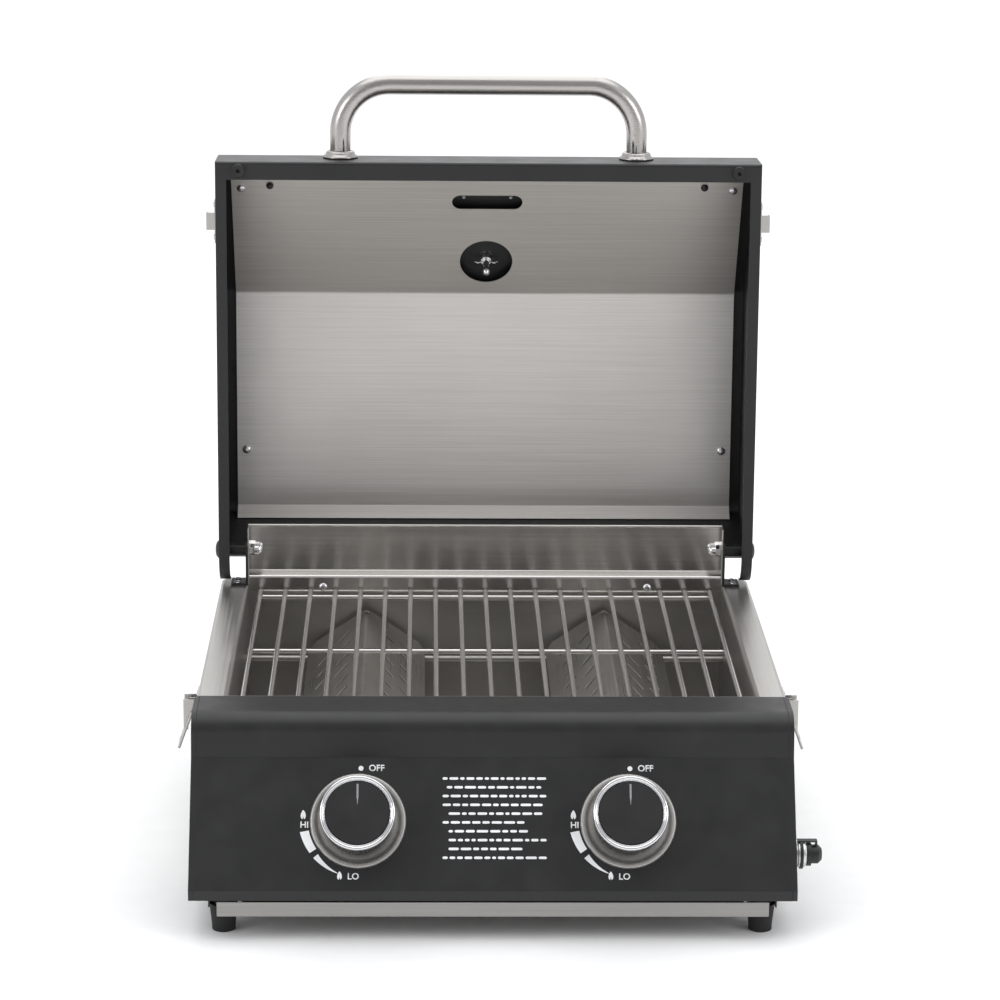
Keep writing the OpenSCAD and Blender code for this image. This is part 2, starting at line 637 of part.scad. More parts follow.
// Draw latch: base with ears, lever and wire bail
module latch_bases() color("silver") both_sides() difference() {
    union() {
        plate_box([half_w, latch_y - 9, lever_pin_z - 25], [half_w + 1, latch_y + 9, lever_pin_z + 10]);
        for (s = [-1, 1]) translate([0, latch_y + s * 5 - 0.5, 0]) {
            plate_box([half_w, 0, lever_pin_z - 6], [lever_pin_x, 1, lever_pin_z + 4]);
            translate([lever_pin_x, 0, lever_pin_z]) rod_y(4, 0, 1);
        }
    }
    translate([lever_pin_x, latch_y, lever_pin_z]) rod_y(pin_r + run, -10, 10);
    latch_holes();
}
module latch_rivets() color("silver") both_sides() for (z = rivet_z)
    translate([half_w + 1, latch_y, z]) rotate([0, 90, 0]) pan_screw(3, 1.5, rivet_r, 4);
module latch_lever() color("gainsboro") difference() {
    union() {
        translate([lever_pin_x, latch_y, lever_pin_z]) rod_y(pin_r, -7.6, 7.6);
        for (s = [-1, 1]) translate([0, latch_y + s * 7.1 - 0.5, 0]) {
            plate_box([lever_pin_x - 3, 0, bail_pin_z - 3], [lever_web_x + 1, 1, lever_pin_z + 3]);
            plate_box([lever_pin_x + 2, 0, lever_pin_z - 24], [lever_web_x + 1, 1, bail_pin_z]);
        }
        plate_box([lever_web_x, latch_y - 7.6, lever_pin_z - 26],
            [lever_web_x + 1, latch_y + 7.6, lever_pin_z - 5]);
        translate([lever_web_x, latch_y - 9, lever_pin_z - 26]) rotate([0, -28, 0])
            translate([0, 0, -6]) cube([1, 18, 6.6]);
    }
    for (z = [-10, -18]) translate([lever_pin_x, latch_y, lever_pin_z + z]) rod_x(1.6, 0, 8);
    translate([lever_pin_x - 1, latch_y, bail_pin_z]) rod_y(wire_r + run, -10, 10);
}
module right_latch_lever() latch_lever();
module left_latch_lever() mirror([1, 0, 0]) latch_lever();
// Wire loop that hangs outside the lever and swings up to the keeper
module latch_bail() color("silver") translate([lever_pin_x - 1, latch_y, bail_pin_z]) {
    leg_y = 10.6;
    leg_r = wire_r - 0.1;
    for (s = [-1, 1]) {
        mirror([0, s < 0 ? 1 : 0, 0]) rod_y(wire_r, 6.8, leg_y + 0.4);
        translate([0, s * leg_y, 0]) rotate([0, bail_lean, 0]) translate([0, 0, -leg_r])
            cylinder(r = leg_r, h = bail_len + 2 * leg_r);
    }
    rotate([0, bail_lean, 0]) translate([0, 0, bail_len]) rod_y(bar_r, -leg_y, leg_y);
}
module right_latch_bail() latch_bail();
module left_latch_bail() mirror([1, 0, 0]) latch_bail();

module lid_skin() color("#2a2b2d") difference() {
    on_lid() along_x(body_w - 2 * plate)
        polygon(sheet_outline(flipped(lid_path), flipped(lid_bends), skin));
    on_slope(thermo_s) translate([0, 0, -6]) cylinder(r = 6, h = 12);
    both_sides() on_slope(badge_s) translate([badge_stud_x, badge_stud_y, -6])
        cylinder(r = badge_stud_r + 0.1, h = 12);
    both_sides() on_lid() {
        translate([handle_w / 2, 0, handle_z]) rod_y(handle_screw_r + 0.15, -lid_len - 2, -lid_len + 4);
    }
}
// Side plates: outline of the lid, round about the hinge, with an inward rim flange
module lid_side_plates() color("#26272a") both_sides() on_lid() difference() {
    union() {
        translate([half_w - plate / 2, 0, 0]) along_x(plate) {
            polygon(concat([[0, rim_z]],
                rounded(concat([for (i = [1 : 4]) lid_path[i]], [[hinge_r - 1, 6]]),
                    [lid_bends[1], lid_bends[2], lid_bends[3]]), [[0, 0]]));
            circle(r = hinge_r, $fn = 64);
        }
        plate_box([half_w - rim_w, -lid_len + lip_w, rim_z], [half_w - plate, 0, rim_z + plate]);
        translate([half_w - (rim_w + plate) / 2, 0, 0]) along_x(rim_w - plate) difference() {
            intersection() {
                circle(r = hinge_r, $fn = 64);
                translate([0, -hinge_r]) square(hinge_r);
            }
            circle(r = hinge_r - plate, $fn = 64);
        }
    }
    rod_x(bolt_r + run, half_w - 5, half_w + 5);
    for (y = keeper_rivet_y) translate([0, y, keeper_z]) rod_x(rivet_hole_r, half_w - 5, half_w + 5);
}
module lid_liner() color("lightgray") difference() {
    inner = beside(flipped(lid_path), liner_gap);
    back = inner[1].y;
    path = [[liner_lip - liner_end, back - liner_lip], [-liner_end, back], inner[2], inner[3],
        [inner[3].x, rim_z + 6]];
    on_lid() along_x(body_w - 2 * liner_in) polygon(sheet_outline(path, [3, 8, 8], liner_t));
    at_lip_screws() translate([0, 0, -3]) cylinder(r = lip_screw_r, h = 4);
    at_liner_screws() translate([0, 0, -3]) cylinder(r = liner_screw_r, h = 4);
    on_slope(thermo_s) translate([0, 0, -liner_gap - 8]) cylinder(r = 25, h = 12);
    on_slope(badge_s) translate([0, 0, -liner_gap - 8]) linear_extrude(12) {
        square([50, 16], center = true);
        for (s = [-1, 1]) translate([s * 25, 0]) circle(r = 8);
    }
}
// Bent tube with round corners
module lid_handle() color("gainsboro") on_lid() translate([0, -lid_len, handle_z]) rotate([90, 0, 0]) {
    run_y = handle_out - handle_bend;
    both_sides() {
        translate([handle_w / 2, 0, 4]) cylinder(r = tube_d / 2, h = run_y - 4);
        translate([handle_w / 2 - handle_bend, 0, run_y]) rotate([90, 0, 0])
            rotate_extrude(angle = 90) translate([handle_bend, 0]) circle(r = tube_d / 2);
    }
    translate([0, 0, handle_out]) rod_x(tube_d / 2, -handle_w / 2 + handle_bend, handle_w / 2 - handle_bend);
}
module handle_collars() color("silver") both_sides() on_lid() translate([handle_w / 2, -lid_len, handle_z])
    rotate([90, 0, 0]) difference() {
        r = tube_d / 2;
        rotate_extrude() polygon([[0, 0], [r + 6.5, 0], [r + 6.5, 2.2], [r + 4, 3.4], [r + 4, 5],
            [r + 2, 7], [r + 0.1, 7], [r + 0.1, 4], [0, 4]]);
        translate([0, 0, -cut]) cylinder(r = handle_screw_r + 0.05, h = 6);
    }
module handle_screws() color("silver") both_sides() on_lid()
    translate([handle_w / 2, -lid_len + skin, handle_z]) rotate([-90, 0, 0])
        pan_screw(5.5, 3, handle_screw_r, skin + 4);
module badge_plate() color("silver") on_slope(badge_s) {
    linear_extrude(1.4) {
        square([74, 22], center = true);
        for (s = [-1, 1]) translate([s * 37, 0]) circle(r = 11);
    }
    for (s = [-1, 1]) translate([s * badge_stud_x, badge_stud_y, -liner_gap])
        cylinder(r = badge_stud_r, h = liner_gap + 1);
}
module thermometer_case() color("silver") on_slope(thermo_s) rotate_extrude($fn = 64)
    polygon([[6, 0], [case_r - 4, 0], [case_r - 1, 3], [case_r, 6], [case_r, 11], [case_r - 1.5, 13],
        [case_r - 3.5, 13], [case_r - 3.5, 2], [6, 2]]);
module thermometer_dial() color("white") on_slope(thermo_s) translate([0, 0, 5]) difference() {
    cylinder(r = case_r - 3.6, h = 1);
    translate([0, 0, -1]) cylinder(r = 2.2, h = 3);
}
module thermometer_pointer() color("red") on_slope(thermo_s) rotate([0, 0, 135]) {
    translate([0, 0, 4.6]) cylinder(r = 2.1, h = 3.4);
    translate([0, 0, 6.8]) linear_extrude(0.8) polygon([[-1.2, -7], [1.2, -7], [0.4, 21], [-0.4, 21]]);
}
module thermometer_lens() color([0.8, 0.9, 1, 0.4]) on_slope(thermo_s) translate([0, 0, 10])
    cylinder(r = case_r - 3.6, h = 1.6);
module thermometer_stem() color("silver") on_slope(thermo_s) translate([0, 0, -probe_len]) {
    cylinder(r = 3, h = probe_len + 4);
    sphere(r = 3.4);
}
module thermometer_wing_nut() color("silver") on_slope(thermo_s) translate([0, 0, -skin - 7]) difference() {
    union() {
        cylinder(r = 5, h = 7);
        for (s = [-1, 1]) translate([s * 7.5, 0, 2]) rotate([90, 0, 0])
            cylinder(r = 4.6, h = 1.6, center = true);
    }
    translate([0, 0, -4]) cylinder(r = 3 + eps, h = 14);
}
module lid_bumpers() color("#161616") both_sides() on_lid()
    translate([bumper_x, -lid_len + lip_w / 2, rim_z]) rotate([180, 0, 0]) difference() {
        cylinder(r1 = 6.6, r2 = 5.8, h = bumper_h);
        translate([0, 0, 1]) cylinder(r = 1.7, h = bumper_h);
    }
// Places children on the liner's inner face beside the lip, +Z into the lid
module at_lip_screws() both_sides() on_slope(lip_screw_s)
    translate([lip_screw_x, 0, -liner_gap - liner_t]) rotate([180, 0, 0]) children();
module lip_screws() color("#1d1d1d") at_lip_screws()
    pan_screw(3.6, 4.2, lip_screw_r, liner_gap + liner_t - skin);
// Places children on the liner's inner face at its four screws, +Z into the lid
module at_liner_screws() both_sides() {
    on_slope(top_screw_s) translate([liner_screw_x, 0, -liner_gap - liner_t]) rotate([180, 0, 0])
        children();
    on_lid() translate([liner_screw_x, low_screw_y, lid_top - liner_gap - liner_t])
        rotate([180, 0, 0]) children();
}
module liner_screws() color("silver") at_liner_screws()
    pan_screw(4.2, 2.4, liner_screw_r, liner_gap + liner_t - skin);
module latch_keepers() color("silver") both_sides() on_lid() {
    z = keeper_z;
    y = keeper_y;
    difference() {
        plate_box([half_w, y - 20, z - 5], [half_w + 1, y + 20, z + 5]);
        for (y = keeper_rivet_y) translate([0, y, z]) rod_x(rivet_r, half_w - 1, half_w + 3);
    }
    floor_z = z - keeper_floor;
    plate_box([half_w, y - 8, floor_z - keeper_t], [keeper_lip_x + keeper_t, y + 8, floor_z]);
    plate_box([keeper_lip_x, y - 8, floor_z - keeper_t], [keeper_lip_x + keeper_t, y + 8, z + 3]);
}
module keeper_rivets() color("silver") both_sides() on_lid() for (y = keeper_rivet_y)
    translate([half_w + 1, y, keeper_z]) rotate([0, 90, 0]) pan_screw(3, 1.5, rivet_r, 3.6);

firebox();
back_splash();
hinge_brackets();
hinge_bolts();
hinge_cap_nuts();
hinge_spacers();
fascia_panel();
fascia_end_caps();
heat_shield();
knob_bezels();
valve_bodies();
gas_manifold();
inlet_union();
inlet_collar();
burner_tubes();
burner_brackets();
flame_tamers();
tamer_bars();
grate_ledges();
cooking_grate();
igniter_electrodes();
latch_bases();
latch_rivets();
base_rails();
rubber_feet();
foot_screws();
tray_runners();
body_screws();
lid_skin();
lid_side_plates();
lid_liner();
lid_handle();
handle_collars();
handle_screws();
badge_plate();
thermometer_case();
thermometer_lens();
thermometer_dial();
thermometer_stem();
thermometer_wing_nut();
thermometer_pointer();
lid_bumpers();
lip_screws();
liner_screws();
latch_keepers();
keeper_rivets();
left_valve_plug();
left_valve_stem();
left_knob_grip();
left_knob_ring();
right_valve_plug();
right_valve_stem();
right_knob_grip();
right_knob_ring();
drip_tray();
left_latch_lever();
right_latch_lever();
left_latch_bail();
right_latch_bail();
inlet_cap();
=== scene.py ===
"""Looks of a two-burner table-top gas grill with a fold-down lid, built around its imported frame."""
import json
import math
import random

import bmesh
import bpy
from bpy.props import FloatProperty, FloatVectorProperty, IntProperty, PointerProperty
from mathutils import Matrix, Vector


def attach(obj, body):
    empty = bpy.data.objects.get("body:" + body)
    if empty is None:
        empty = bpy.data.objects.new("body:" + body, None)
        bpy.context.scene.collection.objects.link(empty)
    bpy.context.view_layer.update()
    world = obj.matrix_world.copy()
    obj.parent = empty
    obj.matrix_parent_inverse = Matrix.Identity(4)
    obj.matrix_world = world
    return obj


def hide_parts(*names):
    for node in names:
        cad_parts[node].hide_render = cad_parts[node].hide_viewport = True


bl_info = {
    "name": "Table-top gas grill",
    "version": (1, 0, 0),
    "blender": (4, 5, 0),
    "location": "View3D > Sidebar > Grill",
    "description": "Finishes and details of a two-burner table-top grill with a fold-down lid",
    "category": "Object",
}

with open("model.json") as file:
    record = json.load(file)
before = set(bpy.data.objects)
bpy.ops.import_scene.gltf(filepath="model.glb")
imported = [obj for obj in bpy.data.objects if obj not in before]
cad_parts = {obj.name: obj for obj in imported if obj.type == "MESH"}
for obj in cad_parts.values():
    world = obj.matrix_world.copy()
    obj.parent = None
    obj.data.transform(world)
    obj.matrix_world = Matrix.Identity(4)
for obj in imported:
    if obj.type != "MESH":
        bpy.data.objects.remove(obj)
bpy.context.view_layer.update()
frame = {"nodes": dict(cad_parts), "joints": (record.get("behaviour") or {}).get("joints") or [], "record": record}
NODES = frame["nodes"]
JOINTS = {joint["name"]: joint for joint in frame["joints"]}
SIDES = ("left", "right")
MM = 0.001


# ---- Shader helpers ----

def new_group(name, inputs, outputs):
    """A shader node group with its inputs {name: (socket, default)} and outputs {name: socket}."""
    group = bpy.data.node_groups.new(name, "ShaderNodeTree")
    for title, (kind, value) in inputs.items():
        socket = group.interface.new_socket(title, in_out="INPUT", socket_type=kind)
        socket.default_value = value
    for title, kind in outputs.items():
        group.interface.new_socket(title, in_out="OUTPUT", socket_type=kind)
    return group, group.nodes.new("NodeGroupInput"), group.nodes.new("NodeGroupOutput")


def add(tree, kind, **values):
    """A node with its properties and input values set."""
    node = tree.nodes.new(kind)
    for key, value in values.items():
        if hasattr(node, key):
            setattr(node, key, value)
        else:
            node.inputs[key.replace("_", " ")].default_value = value
    return node


def math_node(tree, operation, first, second, clamp=False):
    """A Math node on two sockets or numbers."""
    node = add(tree, "ShaderNodeMath", operation=operation, use_clamp=clamp)
    for socket, value in zip(node.inputs, (first, second)):
        if isinstance(value, (int, float)):
            socket.default_value = value
        else:
            tree.links.new(value, socket)
    return node.outputs[0]


def noise(tree, vector, scale, detail=2.0, roughness=0.5):
    """Noise value on a vector socket."""
    node = add(tree, "ShaderNodeTexNoise", Scale=scale, Detail=detail, Roughness=roughness)
    tree.links.new(vector, node.inputs["Vector"])
    return node.outputs[0]


def spread(tree, value, low, high, out_low=0.0, out_high=1.0):
    """Maps a value from one range to another, clamped."""
    node = add(tree, "ShaderNodeMapRange", From_Min=low, From_Max=high, To_Min=out_low, To_Max=out_high)
    tree.links.new(value, node.inputs["Value"])
    return node.outputs[0]


def grain_group():
    """Fine lines of brushed or drawn metal: a grain value, a slow cloud of handling marks and a normal."""
    group, start, end = new_group(
        "Brushed grain",
        {"Vector": ("NodeSocketVector", (0, 0, 0)), "Stretch": ("NodeSocketVector", (4, 900, 900)),
         "Depth": ("NodeSocketFloat", 0.2)},
        {"Grain": "NodeSocketFloat", "Marks": "NodeSocketFloat", "Normal": "NodeSocketVector"})
    scaled = add(group, "ShaderNodeVectorMath", operation="MULTIPLY")
    group.links.new(start.outputs["Vector"], scaled.inputs[0])
    group.links.new(start.outputs["Stretch"], scaled.inputs[1])
    lines = noise(group, scaled.outputs[0], 1.0, detail=3.0, roughness=0.65)
    group.links.new(spread(group, lines, 0.3, 0.7), end.inputs["Grain"])
    marks = noise(group, start.outputs["Vector"], 9.0, detail=4.0, roughness=0.6)
    group.links.new(spread(group, marks, 0.35, 0.7), end.inputs["Marks"])
    bump = add(group, "ShaderNodeBump", Distance=0.0001)
    group.links.new(start.outputs["Depth"], bump.inputs["Strength"])
    group.links.new(lines, bump.inputs["Height"])
    group.links.new(bump.outputs["Normal"], end.inputs["Normal"])
    return group


def powder_group():
    """Fine orange-peel of a baked coating, with faint dust: a mottle, a dust mask and a normal."""
    group, start, end = new_group(
        "Powder coat",
        {"Vector": ("NodeSocketVector", (0, 0, 0)), "Size": ("NodeSocketFloat", 1400.0),
         "Depth": ("NodeSocketFloat", 0.25)},
        {"Mottle": "NodeSocketFloat", "Dust": "NodeSocketFloat", "Normal": "NodeSocketVector"})
    peel = add(group, "ShaderNodeTexNoise", Detail=2.0, Roughness=0.55)
    group.links.new(start.outputs["Vector"], peel.inputs["Vector"])
    group.links.new(start.outputs["Size"], peel.inputs["Scale"])
    mottle = noise(group, start.outputs["Vector"], 40.0, detail=3.0)
    group.links.new(spread(group, mottle, 0.3, 0.7), end.inputs["Mottle"])
    dust = noise(group, start.outputs["Vector"], 14.0, detail=6.0, roughness=0.7)
    group.links.new(spread(group, dust, 0.52, 0.8), end.inputs["Dust"])
    bump = add(group, "ShaderNodeBump", Distance=0.0002)
    group.links.new(start.outputs["Depth"], bump.inputs["Strength"])
    group.links.new(peel.outputs[0], bump.inputs["Height"])
    group.links.new(bump.outputs["Normal"], end.inputs["Normal"])
    return group


def heat_group():
    """Heat tint of steel near a flame: straw to blue-brown patches and their mask."""
    group, start, end = new_group(
        "Heat tint",
        {"Vector": ("NodeSocketVector", (0, 0, 0)), "Amount": ("NodeSocketFloat", 0.3)},
        {"Colour": "NodeSocketColor", "Mask": "NodeSocketFloat"})
    cloud = noise(group, start.outputs["Vector"], 16.0, detail=5.0, roughness=0.6)
    ramp = add(group, "ShaderNodeValToRGB")
    ramp.color_ramp.elements[0].color = (0.52, 0.42, 0.30, 1)
    ramp.color_ramp.elements[1].color = (0.30, 0.27, 0.33, 1)
    group.links.new(cloud, ramp.inputs[0])
    group.links.new(ramp.outputs[0], end.inputs["Colour"])
    mask = spread(group, cloud, 0.42, 0.72)
    group.links.new(math_node(group, "MULTIPLY", mask, start.outputs["Amount"]), end.inputs["Mask"])
    return group


GROUPS = {}


def place_group(tree, name, vector, **values):
    """Adds a shared group, built once, on a vector socket with its own values."""
    makers = {"Brushed grain": grain_group, "Powder coat": powder_group, "Heat tint": heat_group}
    if name not in GROUPS:
        GROUPS[name] = makers[name]()
    node = add(tree, "ShaderNodeGroup")
    node.node_tree = GROUPS[name]
    for key, value in values.items():
        node.inputs[key].default_value = value
    tree.links.new(vector, node.inputs["Vector"])
    return node


def start_material(name, colour, metallic, roughness, **sockets):
    """A material with its Principled shader and an Object coordinate socket."""
    material = bpy.data.materials.new(name)
    material.use_nodes = True
    tree = material.node_tree
    shader = tree.nodes["Principled BSDF"]
    shader.inputs["Base Color"].default_value = (*colour, 1)
    shader.inputs["Metallic"].default_value = metallic
    shader.inputs["Roughness"].default_value = roughness
    for key, value in sockets.items():
        shader.inputs[key.replace("_", " ")].default_value = value
    where = add(tree, "ShaderNodeTexCoord").outputs["Object"]
    return material, tree, shader, where


def mix_colour(tree, mask, first, second):
    """Mixes two colours, each a tuple or a socket, by a mask."""
    node = add(tree, "ShaderNodeMix", data_type="RGBA")
    tree.links.new(mask, node.inputs[0])
    for socket, value in zip((node.inputs[6], node.inputs[7]), (first, second)):
        if isinstance(value, tuple):
            socket.default_value = (*value, 1)
        else:
            tree.links.new(value, socket)
    return node.outputs[2]


# ---- Materials ----

def brushed(name, colour, roughness, stretch, depth=0.2, spread_by=0.14, heat=0.0):
    """Brushed or drawn stainless steel; stretch is small along the grain."""
    material, tree, shader, where = start_material(name, colour, 1.0, roughness)
    grain = place_group(tree, "Brushed grain", where, Stretch=stretch, Depth=depth)
    darker = tuple(c * 0.80 for c in colour)
    shade = mix_colour(tree, grain.outputs["Grain"], darker, colour)
    if heat:
        tint = place_group(tree, "Heat tint", where, Amount=heat)
        shade = mix_colour(tree, tint.outputs["Mask"], shade, tint.outputs["Colour"])
    tree.links.new(shade, shader.inputs["Base Color"])
    fine = math_node(tree, "MULTIPLY", grain.outputs["Grain"], spread_by)
    slow = math_node(tree, "MULTIPLY", grain.outputs["Marks"], spread_by * 0.6)
    rough = math_node(tree, "ADD", math_node(tree, "ADD", fine, slow), roughness - spread_by * 0.5)
    tree.links.new(rough, shader.inputs["Roughness"])
    tree.links.new(grain.outputs["Normal"], shader.inputs["Normal"])
    return material


def coated(name, colour, roughness, size=1400.0, depth=0.25, dust=0.012):
    """Satin powder coat or moulded black plastic with fine texture and faint dust."""
    material, tree, shader, where = start_material(name, colour, 0.0, roughness)
    coat = place_group(tree, "Powder coat", where, Size=size, Depth=depth)
    lighter = tuple(min(1.0, c * 1.25) for c in colour)
    shade = mix_colour(tree, coat.outputs["Mottle"], colour, lighter)
    dusty = math_node(tree, "MULTIPLY", coat.outputs["Dust"], dust)
    shade = mix_colour(tree, dusty, shade, (0.42, 0.41, 0.40))
    tree.links.new(shade, shader.inputs["Base Color"])
    wave = math_node(tree, "MULTIPLY", coat.outputs["Mottle"], 0.10)
    rough = math_node(tree, "ADD", wave, roughness - 0.04)
    tree.links.new(rough, shader.inputs["Roughness"])
    tree.links.new(coat.outputs["Normal"], shader.inputs["Normal"])
    return material


def lens_material():
    """Clear glass of the thermometer."""
    material, tree, shader, where = start_material("Lens glass", (0.97, 0.99, 1.0), 0.0, 0.03)
    shader.inputs["Transmission Weight"].default_value = 1.0
    shader.inputs["IOR"].default_value = 1.45
    smudge = place_group(tree, "Brushed grain", where, Stretch=(60, 60, 60), Depth=0.0)
    rough = math_node(tree, "MULTIPLY", smudge.outputs["Marks"], 0.06)
    tree.links.new(rough, shader.inputs["Roughness"])
    return material


def make_materials(finish):
    """Every finish, by the record's slot name."""
    along_x = (6.0, 1500.0, 1500.0)
    along_y = (1500.0, 6.0, 1500.0)
    turned = (900.0, 900.0, 900.0)
    steel = tuple(finish.steel)
    black = tuple(finish.coat)
    return {
        "satin_stainless": brushed("Satin stainless", steel, 0.36, along_y, 0.12),
        "polished_stainless": brushed("Bright stainless", (0.70, 0.68, 0.65), 0.13, along_x, 0.08, 0.07),
        "liner_stainless": brushed("Liner stainless", tuple(finish.liner), 0.42, along_x, 0.06, 0.08),
        "black_coat": coated("Black powder coat", black, finish.coat_roughness),
        "grate_steel": brushed("Drawn rod", (0.78, 0.76, 0.73), 0.20, along_y, 0.10, 0.08, 0.10),
        "chrome": brushed("Bright chrome", (0.84, 0.84, 0.85), 0.07, turned, 0.03, 0.04),
        "black_plastic": coated("Black plastic", (0.008, 0.008, 0.0085), 0.42, 2200.0, 0.15, 0.01),
        "rubber": coated("Rubber", (0.010, 0.010, 0.0105), 0.72, 900.0, 0.35, 0.03),
        "brass": brushed("Turned brass", (0.66, 0.48, 0.20), 0.28, turned, 0.12, 0.12),
        "zinc_screw": brushed("Zinc screw", (0.74, 0.74, 0.76), 0.22, turned, 0.06, 0.08),
        "black_screw": coated("Black screw", (0.008, 0.008, 0.009), 0.35, 1800.0, 0.15, 0.01),
        "dial_white": coated("Dial white", (0.80, 0.80, 0.78), 0.45, 1500.0, 0.03, 0.02),
        "needle_red": coated("Needle red", (0.48, 0.03, 0.02), 0.40, 1500.0, 0.05, 0.0),
        "lens_glass": lens_material(),
        "ceramic": coated("Glazed ceramic", (0.76, 0.75, 0.70), 0.18, 700.0, 0.05, 0.03),
        "union_silver": brushed("Silver band", (0.80, 0.80, 0.80), 0.35, along_x, 0.1, 0.1),
        "tamer_steel": brushed("Tamer steel", (0.54, 0.53, 0.50), 0.30, along_y, 0.15, 0.14, 0.6),
        # Handle steel is the satin steel darkened: a painted shade that dims the highlight on the lid handle and
        # its collars.
        "handle_steel_painted_shade": brushed("Handle steel painted shade", (0.50, 0.48, 0.46), 0.28, along_x, 0.05, 0.06),
        # Tray steel is the satin steel darkened: a painted shade on the drip tray, not a different metal.
        "tray_steel_painted_shade": brushed("Tray steel painted shade", (0.36, 0.35, 0.335), 0.40, along_x, 0.10, 0.10),
        # Splash steel is the satin steel lightened: a painted highlight that stands in for the reflections on the
        # back splash.
        "splash_steel_painted_highlight": brushed("Splash steel painted highlight", (0.80, 0.78, 0.75), 0.16, along_x, 0.05, 0.05),
        "print_white": coated("White print", (0.72, 0.73, 0.74), 0.55, 1200.0, 0.05, 0.0),
        "face_black": coated("Knob face", (0.0075, 0.0075, 0.0078), 0.38, 2600.0, 0.08, 0.006),
    }


# The handle, collars, tray and splash take copies of the steel with painted light (darker for painted shade,
# lighter for painted highlight); the flame tamers take heat-tinted steel.
SPECIAL = {"flame_tamers": "tamer_steel", "lid_handle": "handle_steel_painted_shade", "handle_collars": "handle_steel_painted_shade",
           "drip_tray": "tray_steel_painted_shade", "back_splash": "splash_steel_painted_highlight"}


# ---- Mesh helpers ----

def finish_mesh(mesh, name, material, body, replaced=()):
    """Makes a bmesh an object that rides on a body."""
    data = bpy.data.meshes.new(name)
    mesh.to_mesh(data)
    mesh.free()
    data.materials.append(material)
    piece = bpy.data.objects.new(name, data)
    bpy.context.scene.collection.objects.link(piece)
    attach(piece, body)
    if replaced:
        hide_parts(*replaced)
    return piece


def smooth_by_angle(mesh, degrees=35):
    """Smooth faces, with sharp edges where the surface turns more than an angle."""
    for face in mesh.faces:
        face.smooth = True
    for edge in mesh.edges:
        if len(edge.link_faces) == 2 and edge.calc_face_angle(0) > math.radians(degrees):
            edge.smooth = False


def turned_mesh(profile, steps=96):
    """A closed ring spun about Z from (radius, height) points in millimetres."""
    mesh = bmesh.new()
    points = [mesh.verts.new((r * MM, 0, z * MM)) for r, z in profile]
    edges = [mesh.edges.new((a, b)) for a, b in zip(points, points[1:] + points[:1])]
    bmesh.ops.spin(mesh, geom=points + edges, cent=(0, 0, 0), axis=(0, 0, 1), dvec=(0, 0, 0),
                   angle=math.tau, steps=steps, use_merge=True, use_duplicate=False)
    bmesh.ops.remove_doubles(mesh, verts=mesh.verts, dist=1e-7)
    bmesh.ops.recalc_face_normals(mesh, faces=mesh.faces)
    smooth_by_angle(mesh, 40)
    return mesh


def round_corner(cx, cy, radius, start, end, steps=6):
    """Points of an arc between two angles in degrees."""
    turn = [math.radians(start + (end - start) * k / steps) for k in range(steps + 1)]
    return [(cx + radius * math.cos(a), cy + radius * math.sin(a)) for a in turn]


def slab(mesh, outline, low, high, place):
    """Adds a flat shape from x-y points in millimetres, thick from low to high, put in place."""
    verts = [mesh.verts.new(place @ Vector((x * MM, y * MM, low * MM))) for x, y in outline]
    face = mesh.faces.new(verts)
    top = bmesh.ops.extrude_face_region(mesh, geom=[face])
    moved = [v for v in top["geom"] if isinstance(v, bmesh.types.BMVert)]
    rise = place.to_3x3() @ Vector((0, 0, (high - low) * MM))
    bmesh.ops.translate(mesh, verts=moved, vec=rise)


def knob_place(side):
    """Frame on the control panel at a knob: X right, Y up the panel, Z out of it."""
    joint = JOINTS[side + "_knob_turn"]
    out = Vector(joint["axis"]).normalized()
    right = Vector((1, 0, 0))
    up = out.cross(right)
    rotation = Matrix((right, up, out)).transposed().to_4x4()
    return Matrix.Translation(Vector(joint["pos_m"])) @ rotation


# ---- Properties ----

class GrillFinish(bpy.types.PropertyGroup):
    """Colours and finishes."""
    steel: FloatVectorProperty(name="Steel", description="Colour of the satin steel", subtype="COLOR",
                               size=3, min=0, max=1, default=(0.55, 0.535, 0.51))
    liner: FloatVectorProperty(name="Liner", description="Colour of the lid liner", subtype="COLOR",
                               size=3, min=0, max=1, default=(0.72, 0.695, 0.665))
    coat: FloatVectorProperty(name="Coat", description="Colour of the powder coat", subtype="COLOR",
                              size=3, min=0, max=1, default=(0.0075, 0.0076, 0.0080))
    coat_roughness: FloatProperty(name="Coat roughness", description="Roughness of the powder coat",
                                  subtype="FACTOR", min=0, max=1, default=0.42)
    edge: FloatProperty(name="Edge radius", description="Softening of the sheet edges", unit="LENGTH",
                        min=0, max=0.002, default=0.00035)


class GrillKnobs(bpy.types.PropertyGroup):
    """Knob rings and the print around them."""
    mark_radius: FloatProperty(name="Mark radius", description="Distance of the print from the knob axis",
                               unit="LENGTH", min=0.04, max=0.06, default=0.0455)
    letter: FloatProperty(name="Letter height", description="Height of the dial words", unit="LENGTH",
                          min=0.003, max=0.008, default=0.0058)
    ring_steps: IntProperty(name="Ring steps", description="Segments round a ring", min=24, max=192,
                            default=128)


class GrillStage(bpy.types.PropertyGroup):
    """Camera place, aim and lens."""
    lens: FloatProperty(name="Lens", description="Focal length in millimetres", min=20, max=300,
                        default=119.8)
    pitch: FloatProperty(name="Pitch", description="How far the camera looks down", subtype="ANGLE",
                         default=math.radians(14.762))
    yaw: FloatProperty(name="Yaw", description="How far the camera looks to the right", subtype="ANGLE",
                       default=math.radians(1.358))
    roll: FloatProperty(name="Roll", description="Turn of the camera about its view", subtype="ANGLE",
                        default=math.radians(0.541))
    place: FloatVectorProperty(name="Camera place", description="Where the camera stands", subtype="XYZ",
                               unit="LENGTH", size=3, default=(-0.0586, -2.8518, 1.0546))


FLOOR_SIZE = 30
SKY_AHEAD = (0, -0.94, 0.34)
SUN_SPREAD = math.radians(70)
SUN_POWER = 1.25
SUN_LEAN = math.radians(-8)
WELD_GAP = 1e-6
FLAT_ANGLE = math.radians(0.6)
EDGE_ANGLE = math.radians(40)


# ---- Operators ----

